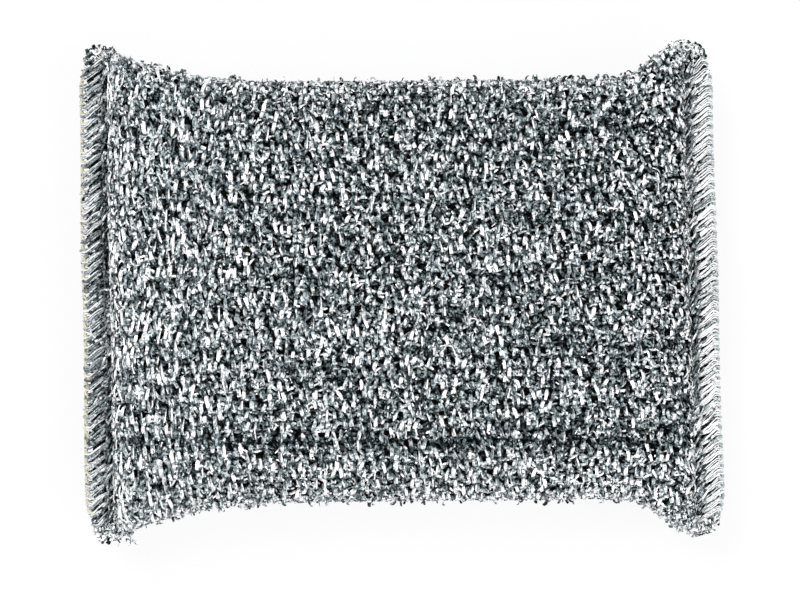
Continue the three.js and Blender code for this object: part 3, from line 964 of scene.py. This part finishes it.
@dataclass
class LooseTape:
    """Tape ends and loops that stand out of the knit, mostly along the folds and at the corners."""

    shape: PadShape
    count: int = 300
    seam_count: int = 300
    tape_width: float = mm(0.8)
    tape_thickness: float = mm(0.12)
    root_depth: float = mm(0.7)
    fold_spread: float = 0.035
    groove_shares: tuple[float, float] = (0.5, 0.8)
    groove_inward: tuple[float, float] = (2.9, 6.2)
    groove_rise: tuple[float, float] = (mm(3.4), mm(2.6))
    band_inward: tuple[float, float] = (0.2, 3.4)
    band_cover: float = mm(1.15)
    curl_inward: float = mm(4.4)
    curl_spreads: tuple[float, float] = (mm(1.9), mm(1.5))
    stray_curls: int = 22
    seed: int = 23

    def build(self) -> None:
        """Builds all loose ends as one piece."""
        draw = np.random.default_rng(self.seed)
        points, faces, tones, rises, facets = [], [], [], [], []
        for path, tone in [*self.fold_ends(draw), *self.seam_ends(draw), *self.corner_curls(draw)]:
            steps = len(path)
            t = np.linspace(0, 1, steps)
            width = self.tape_width * draw.uniform(0.5, 1.0) * (1.0 - 0.45 * t**3)
            roll = draw.uniform(-1.0, 1.0) + np.cumsum(draw.uniform(-0.35, 0.35, steps))
            start = sum(len(ring) for ring in points)
            fold = draw.uniform(-0.6, 0.6, steps)
            corners = tape_rings(path, width, roll, fold, self.tape_thickness).reshape(-1, 3)
            corners[:, 2] = np.maximum(corners[:, 2], LOWEST_HEIGHT)
            points.append(corners)
            faces += [tuple(start + k for k in face) for face in ring_faces(steps, TAPE_CORNERS)]
            facets.append(painted_facet_light(steps, draw))
            tones.append(np.full(len(corners), tone))
            # Painted shade: each end is darker at its root, where it leaves the knit.
            rises.append(np.repeat(0.55 + 0.45 * t, TAPE_CORNERS))
        mesh = mesh_of("loose_tape_ends", np.concatenate(points), faces)
        store(mesh, "tone", np.concatenate(tones))
        store(mesh, "rise", np.concatenate(rises))
        store(mesh, "facet", np.concatenate(facets), domain="FACE")
        mesh.materials.append(bpy.data.materials[TAPE.name])
        piece = new_object("loose_tape_ends", mesh)
        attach(piece, "root")
        LOG.info("loose_tape_ends: %d faces", len(mesh.polygons))

    def fold_ends(self, draw: np.random.Generator) -> list[tuple[Array, float]]:
        """Small ends that poke out of the two long folds and a few out of the broad faces."""
        ends = []
        for _ in range(self.count):
            around = draw.choice([0.0, 0.5]) + draw.normal(0.0, self.fold_spread)
            along = draw.uniform(0.02, 0.98)
            ends.append((self.poke(along, around, draw), draw.uniform(0.1, 1.4)))
        for _ in range(self.count // 2):
            path = self.poke(draw.uniform(0.03, 0.97), draw.uniform(0.06, 0.44), draw)
            ends.append((path, draw.uniform(0.3, 1.1)))
        return ends

    def poke(self, along: float, around: float, draw: np.random.Generator) -> Array:
        """Path of one end that leaves the knit, rises a little and lies over."""
        step = 0.004
        steps = np.array([[0.0, 0.0], [0.0, step], [step, 0.0]])
        base, ahead, aside = self.shape.skin(along + steps[:, 0], around + steps[:, 1], self.root_depth)
        run, over = ahead - base, aside - base
        facing = np.cross(run, over)
        facing /= np.linalg.norm(facing)
        facing *= np.sign(facing @ (base - self.shape.settle(0.0, 0.0, 0.0)) or 1.0)
        way = run / np.linalg.norm(run) * draw.uniform(-1, 1)
        way = way + over / np.linalg.norm(over) * draw.uniform(-1, 1)
        reach, high = mm(draw.uniform(0.5, 1.5)), mm(draw.uniform(0.75, 1.35))
        t = np.linspace(0, 1, 5)[:, None]
        path = base + facing * high * np.sin(t * math.pi * 0.62) + way * reach * t**1.5
        path[:, 2] = np.maximum(path[:, 2], mm(0.1))
        return path

    def seam_ends(self, draw: np.random.Generator) -> list[tuple[Array, float]]:
        """Short ends of tape that lie over the sewn bands and the groove beside them, on both faces."""
        ends = []
        for side in Side:
            seam = self.shape.seam_length(side)
            for _ in range(self.seam_count * 2):
                face = draw.choice([1, -1])
                groove = draw.uniform() < self.groove_shares[0 if side is Side.LEFT else 1]
                inward = mm(draw.uniform(*(self.groove_inward if groove else self.band_inward)))
                y = draw.uniform(-0.47, 0.47) * seam
                slope = draw.normal(1.6 if groove else 0.8, 0.4) * face
                reach = mm(draw.uniform(0.5, 1.2))
                t = np.linspace(-1, 1, 5)
                swollen = max(0.0, (inward - self.groove_rise[0]) / self.groove_rise[1])
                height = self.band_cover + mm(0.75) * np.cos(t * math.pi / 2) + mm(0.9) * swollen
                path = self.shape.seam_point(side, inward + reach * t, y + reach * slope * t, face * height)
                path[:, 2] = np.maximum(path[:, 2], mm(0.15))
                ends.append((path, draw.uniform(0.2, 1.2) if side is Side.LEFT else draw.uniform(0.6, 1.4)))
        return ends

    def corner_curls(self, draw: np.random.Generator) -> list[tuple[Array, float]]:
        """Curled ends at the four corners, largest at the lower left one."""
        curls = []
        for corner, amount in CORNER_CURLS.items():
            side, up = corner
            spread = self.curl_spreads[0 if corner == LOWER_LEFT else 1]
            x = side.value * (self.shape.half_length - self.curl_inward)
            for k in range(amount):
                at = x + mm(draw.normal(0.0, 2.4))
                at = side.value * min(abs(at), self.shape.half_length - mm(0.6))
                y = up * (self.shape.half_width(np.array([at]))[0] - abs(draw.normal(0.2, 1.0)) * spread)
                base = self.shape.settle(at, y, mm(draw.normal(0.5, 1.2)))
                if corner == LOWER_LEFT and k < self.stray_curls:
                    base += np.array([mm(draw.normal(1.6, 0.7)), -mm(draw.uniform(0.2, 2.2)), 0.0])
                # Painted light: the curls get high tones to make up for the shade on their steep facets.
                curls.append((self.curl(base, draw), draw.uniform(1.3, 2.2)))
        return curls

    @staticmethod
    def curl(base: Array, draw: np.random.Generator) -> Array:
        """Path of a small open ring of tape around a point."""
        steps = 8
        first = draw.normal(0.0, 1.0, 3)
        first /= np.linalg.norm(first)
        second = np.cross(first, draw.normal(0.0, 1.0, 3))
        second /= np.linalg.norm(second)
        turn = np.linspace(0.0, draw.uniform(2.2, 4.8), steps)[:, None]
        radius = mm(draw.uniform(0.35, 0.8))
        path = base + radius * (np.cos(turn) * first + np.sin(turn) * second)
        path[:, 2] = np.maximum(path[:, 2], mm(0.2))
        return path


@dataclass
class OverlockSeam:
    """One sewn end: bulked looper threads over both faces and a thread along the cut edge."""

    shape: PadShape
    side: Side
    stitch_pitch: float = mm(1.94)
    stitch_lean: float = mm(2.4)
    needle_line: float = mm(3.0)
    end_margin: float = mm(1.0)
    band_height: float = mm(1.5)
    edge_reach: float = mm(1.2)
    strands: int = 3
    strand_radius: float = mm(0.2)
    strand_fan: float = mm(0.95)
    strand_tone: float = 0.68
    edge_radius: float = mm(0.3)
    edge_strands: int = 2
    corner_draw: float = mm(1.3)
    corner_zone: tuple[float, float] = (mm(40.5), mm(5.5))
    end_taper: float = 0.55
    edge_steps: int = 8
    seed: int = 37

    def __post_init__(self) -> None:
        """Counts the stitches that fit between the rounded corners."""
        seam = self.shape.seam_length(self.side)
        self.stitches = int((seam - 2 * (self.shape.corner_radius + self.end_margin)) / self.stitch_pitch)
        self.start = -(self.stitches - 1) / 2 * self.stitch_pitch

    def build(self, model: NodeModel) -> None:
        """Builds the looper threads and the edge thread."""
        end = self.side.name.lower()
        draw = np.random.default_rng(self.seed + self.side.value)
        edge_finish = CREAM_THREAD if self.side is Side.LEFT else SILVER_EDGE_THREAD
        loops = [*self.looper_strands(draw), *self.needle_stitches(draw)]
        names = f"{end}_overlock_stitches", f"{end}_overlock_thread"
        self.strand_piece(model, names, loops, SILVER_THREAD, 5)
        edge = self.edge_paths(draw)
        self.strand_piece(model, (f"{end}_edge_loops", f"{end}_edge_thread"), edge, edge_finish, 6)

    def end_point(self, inward: Array, along: Array, height: Array) -> Array:
        """Points of the seam, drawn inward where it nears the rounded corners."""
        near = np.clip((np.abs(along) - self.corner_zone[0]) / self.corner_zone[1], 0.0, 1.0)
        return self.shape.seam_point(self.side, inward + self.corner_draw * near**2, along, height)

    def looper_strands(self, draw: np.random.Generator) -> list[Strand]:
        """Strands that cross the band, slanting on the upper face and nearly square on the lower one."""
        lag = self.stitch_pitch - self.stitch_lean
        inward = self.needle_line * np.array([1.0, 1.0, 0.45, 0, 0, 0, 0, 0, 0.5, 1.0, 1.0])
        inward -= self.edge_reach * np.array([0, 0, 0, 0, 0.75, 1.0, 0.7, 0, 0, 0, 0])
        inward[[0, -1]] += mm(0.25), mm(0.2)
        square = lag * np.array([0.1, 0, 0.12, 0.3, 0.55, 0.7, 0.85, 1.0, 0.52, 0.05, 0.0])
        slant = self.stitch_lean * np.array([0.0, 0.52, 0.96, 1.05])
        fanned = np.array([0.15, 0.5, 1.0, 1.0, 0.8, 0.6, 0.8, 1.0, 1.0, 0.55, 0.15])
        swell = np.array([-0.35, -0.9, -1.12, -1.0, -0.62, 0.0, 0.62, 1.0, 1.14, 0.92, 0.4])
        swell *= self.band_height
        strands = []
        for k in range(-1, self.stitches + 1):
            y = self.start + k * self.stitch_pitch
            puff = draw.uniform(0.9, 1.15)
            for j in range(self.strands):
                fan = (j / (self.strands - 1) - 0.5) * self.strand_fan
                droop = abs(j / (self.strands - 1) - 0.5) * mm(0.35)
                along = y + square
                along[-len(slant):] = y + lag + slant
                height = swell * puff
                height -= np.sign(height) * droop
                jitter = draw.normal(0.0, mm(0.08), (3, len(inward)))
                along = along + fan * fanned + jitter[1]
                path = self.end_point(inward + jitter[0], along, height + jitter[2])
                tone = float(np.clip(draw.normal(self.strand_tone, 0.25), 0.1, 1.3))
                strands.append((path, tone, draw.uniform(0.7, 1.25) * self.strand_radius))
        return strands

    def needle_stitches(self, draw: np.random.Generator) -> list[Strand]:
        """Short needle stitches along the inner side of the band, on both faces."""
        strands = []
        for k in range(self.stitches):
            for face in (1, -1):
                y = self.start + (k + np.array([0.02, 0.2, 0.5, 0.8, 0.98])) * self.stitch_pitch
                inward = self.needle_line + mm(0.35) + draw.normal(0.0, mm(0.08), 5)
                height = face * np.array([0.3, 0.95, 1.1, 0.95, 0.3]) * self.band_height * 0.85
                path = self.end_point(np.broadcast_to(inward, y.shape), y, height)
                strands.append((path, draw.uniform(0.15, 0.8), self.strand_radius * 1.1))
        return strands

    def edge_paths(self, draw: np.random.Generator) -> list[Strand]:
        """Strands of the thread that shows outermost between the loopers, in small scallops."""
        strands = []
        lag = self.stitch_pitch - self.stitch_lean
        for j in range(self.edge_strands):
            t = np.arange(-4, self.edge_steps * self.stitches + 5) / self.edge_steps
            phase = 2 * math.pi * (t - 0.7 * lag / self.stitch_pitch)
            bulge = 0.5 - 0.5 * np.cos(phase)
            inward = -(mm(0.3) + mm(0.7) * bulge) + mm(0.14) * np.cos(2.5 * phase + math.pi * j)
            height = mm(0.95) - mm(0.75) * bulge + mm(0.14) * np.sin(2.5 * phase + math.pi * j)
            height += draw.normal(0.0, mm(0.03), len(t))
            path = self.end_point(inward, self.start + t * self.stitch_pitch, height)
            strands.append((path, 0.55 + 0.1 * j, self.edge_radius * (0.85 + 0.15 * j)))
        return strands

    def strand_piece(
        self, model: NodeModel, names: tuple[str, str], strands: list[Strand], finish: ThreadFinish,
        sides: int,
    ) -> None:
        """Turns strand paths into one piece that stands for a CAD node.

        Args:
            model: Tree that makes round strands.
            names: Name of the piece, and of the CAD node that it replaces.
            strands: Path, tone and radius of each strand.
            finish: Finish of the thread.
            sides: Number of sides of a strand.
        """
        name, node = names
        edges, points, tones, radii = [], [], [], []
        for path, tone, radius in strands:
            start = len(points)
            points += [tuple(point) for point in path]
            edges += [(start + k, start + k + 1) for k in range(len(path) - 1)]
            tones += [tone] * len(path)
            taper = np.ones(len(path))
            taper[[0, -1]] = self.end_taper
            radii += list(radius * taper)
        mesh = bpy.data.meshes.new(name + "_paths")
        mesh.from_pydata(points, edges, [])
        store(mesh, "tone", np.array(tones))
        store(mesh, "thickness", np.array(radii))
        values = {"Sides": sides, "Smoothing": 2, "Material": finish.make()}
        piece = model.apply(new_object(name + "_paths", mesh), name, values)
        piece.data.shade_smooth()
        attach(piece, "root")
        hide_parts(node)
        LOG.info("%s: %d faces", name, len(piece.data.polygons))


def strand_model() -> NodeModel:
    """Builds the tree that turns paths into round strands.

    Returns:
        The tree, with the number of sides and the smoothing as inputs.
    """
    model = NodeModel("thread_strands")
    sides = model.size("Sides", "NodeSocketInt")
    smoothing = model.size("Smoothing", "NodeSocketInt")
    curves = model.node("GeometryNodeMeshToCurve", Mesh=model.source.outputs["Geometry"]).outputs["Curve"]
    smooth = model.node("GeometryNodeCurveSplineType", {"spline_type": "CATMULL_ROM"}, Curve=curves)
    finer = model.node(
        "GeometryNodeSetSplineResolution", Geometry=smooth.outputs["Curve"], Resolution=smoothing
    )
    section = model.node("GeometryNodeCurvePrimitiveCircle", Resolution=sides, Radius=1.0)
    tubes = model.node(
        "GeometryNodeCurveToMesh", Curve=finer.outputs["Geometry"],
        Profile_Curve=section.outputs["Curve"], Scale=model.named("thickness", "FLOAT"),
        Fill_Caps=True,
    )
    model.end(tubes.outputs["Mesh"])
    return model


@dataclass
class FoamCore:
    """The foam block inside the cover."""

    shape: PadShape
    depth: float = mm(2.6)
    grid: tuple[int, int] = (90, 96)

    def build(self) -> None:
        """Builds the foam block as a closed form a little smaller than the room for it."""
        rings, around = self.grid
        body = (self.shape.half_length - self.shape.half_body) / self.shape.profile_length
        reach = np.linspace(body * 1.05, 1 - body * 1.05, rings)
        along, turn = np.meshgrid(reach, np.arange(around) / around, indexing="ij")
        points = self.shape.skin(along, turn, self.depth)
        points[..., 0] *= (self.shape.half_body - self.depth) / self.shape.half_body
        limit = self.shape.body_width / 2 - self.depth
        points[..., 1] = np.clip(points[..., 1], -limit, limit)
        mesh = mesh_of("foam_block", points, ring_faces(rings, around))
        mesh.shade_smooth()
        mesh.materials.append(FOAM.make())
        piece = new_object("foam_block", mesh)
        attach(piece, "root")
        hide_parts("foam_core")
        LOG.info("foam_block: %d faces", len(mesh.polygons))


@dataclass
class Studio:
    """Camera, floor and soft light."""

    pixels_per_metre: float = 5000.0
    frame_width: float = 800.0
    lens: float = 100.0
    sensor: float = 36.0
    aim_x: float = mm(-0.3)
    aim_y: float = mm(-1.8)
    aim_z: float = mm(12.0)
    floor_size: float = 4.0
    floor_white: float = 0.88
    room_light: float = 0.55
    lamps: tuple[tuple[str, tuple[float, float, float], float, float], ...] = (
        ("key", (-0.35, 0.45, 0.8), 0.5, 5.0),
        ("fill", (0.6, -0.2, 0.7), 0.7, 3.0),
        ("rim", (0.1, -0.8, 0.5), 0.5, 2.0),
    )

    def build(self) -> None:
        """Builds the camera, the floor, the lamps and the world."""
        self.camera()
        self.floor()
        for lamp in self.lamps:
            self.lamp(*lamp)
        self.world()
        bpy.context.scene.view_settings.view_transform = "Standard"

    def camera(self) -> None:
        """Sets the camera straight over the pad."""
        data = bpy.data.cameras.new("camera")
        data.lens = self.lens
        data.sensor_width = self.sensor
        distance = self.frame_width / self.pixels_per_metre * self.lens / self.sensor
        camera = bpy.data.objects.new("camera", data)
        camera.location = (self.aim_x, self.aim_y, self.aim_z + distance)
        data.clip_start, data.clip_end = 0.01, 20.0
        bpy.context.scene.collection.objects.link(camera)
        bpy.context.scene.camera = camera

    def floor(self) -> None:
        """Lays the pale floor, which shows white and keeps a soft shadow."""
        half = self.floor_size / 2
        corners = np.array([[-half, -half, 0], [half, -half, 0], [half, half, 0], [-half, half, 0]])
        mesh = mesh_of("floor", corners, [(0, 1, 2, 3)])
        material = bpy.data.materials.new("pale_floor")
        material.use_nodes = True
        tree = material.node_tree
        shader = tree.nodes["Principled BSDF"]
        shader.inputs["Base Color"].default_value = (0.9, 0.9, 0.9, 1.0)
        shader.inputs["Roughness"].default_value = 0.9
        shader.inputs["Specular IOR Level"].default_value = 0.0
        self.white_to_viewers(tree, shader.outputs["BSDF"], self.floor_white, tree.nodes["Material Output"])
        mesh.materials.append(material)
        floor = new_object("floor", mesh)

    @staticmethod
    def white_to_viewers(tree: Tree, shader: Socket, share: float, output: bpy.types.Node) -> None:
        """Mixes plain white into a shader for camera, glossy and transmission rays."""
        path = Finish.node(tree, "ShaderNodeLightPath").outputs
        seen = Finish.math(tree, "MAXIMUM", path["Is Camera Ray"], path["Is Glossy Ray"])
        seen = Finish.math(tree, "MAXIMUM", seen, path["Is Transmission Ray"])
        part = Finish.math(tree, "MULTIPLY", seen, share)
        white = Finish.node(tree, "ShaderNodeEmission", Color=(1.0, 1.0, 1.0, 1.0), Strength=1.0)
        mix = Finish.node(tree, "ShaderNodeMixShader", _0=part, _1=shader, _2=white.outputs["Emission"])
        tree.links.new(mix.outputs["Shader"], output.inputs["Surface"])

    @staticmethod
    def lamp(name: str, place: tuple[float, float, float], size: float, power: float) -> None:
        """Hangs one square lamp that faces the pad."""
        data = bpy.data.lights.new(name, "AREA")
        data.size = size
        data.energy = power
        lamp = bpy.data.objects.new(name, data)
        lamp.location = place
        lamp.rotation_euler = (-Vector(place)).to_track_quat("-Z", "Y").to_euler()
        bpy.context.scene.collection.objects.link(lamp)

    def world(self) -> None:
        """Fills the room with plain soft light and shows it as white."""
        world = bpy.data.worlds.new("studio")
        world.use_nodes = True
        tree = world.node_tree
        room = tree.nodes["Background"]
        room.inputs["Color"].default_value = (0.98, 0.99, 1.0, 1.0)
        room.inputs["Strength"].default_value = self.room_light
        self.white_to_viewers(tree, room.outputs["Background"], 1.0, tree.nodes["World Output"])
        bpy.context.scene.world = world


def placed_shape() -> PadShape:
    """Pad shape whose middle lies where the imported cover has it.

    Returns:
        The shape, moved so that its box is centred on the box of the cover.
    """
    low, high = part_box("knitted_cover")
    shape = PadShape()
    along, turn = np.meshgrid(np.linspace(0, 1, 200), np.linspace(0, 1, 200), indexing="ij")
    points = shape.skin(along, turn).reshape(-1, 3)
    centre = (points.min(axis=0) + points.max(axis=0)) / 2
    shape.middle = Vector(((low[0] + high[0]) / 2 - centre[0], (low[1] + high[1]) / 2 - centre[1], 0.0))
    return shape


def main() -> None:
    """Builds the sponge and its studio in order."""
    logging.basicConfig(level=logging.INFO, format="%(name)s %(message)s")
    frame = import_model()
    LOG.info("frame: %d nodes", len(frame["nodes"]))
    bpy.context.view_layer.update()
    shape = placed_shape()
    Studio().build()
    KnittedCover(shape).build()
    FoamCore(shape).build()
    LooseTape(shape).build()
    strands = strand_model()
    OverlockSeam(shape, Side.LEFT).build(strands)
    finer = {"strands": 4, "strand_radius": mm(0.16), "strand_fan": mm(1.25), "strand_tone": 1.0}
    OverlockSeam(shape, Side.RIGHT, **finer).build(strands)


if __name__ == "__main__":
    main()
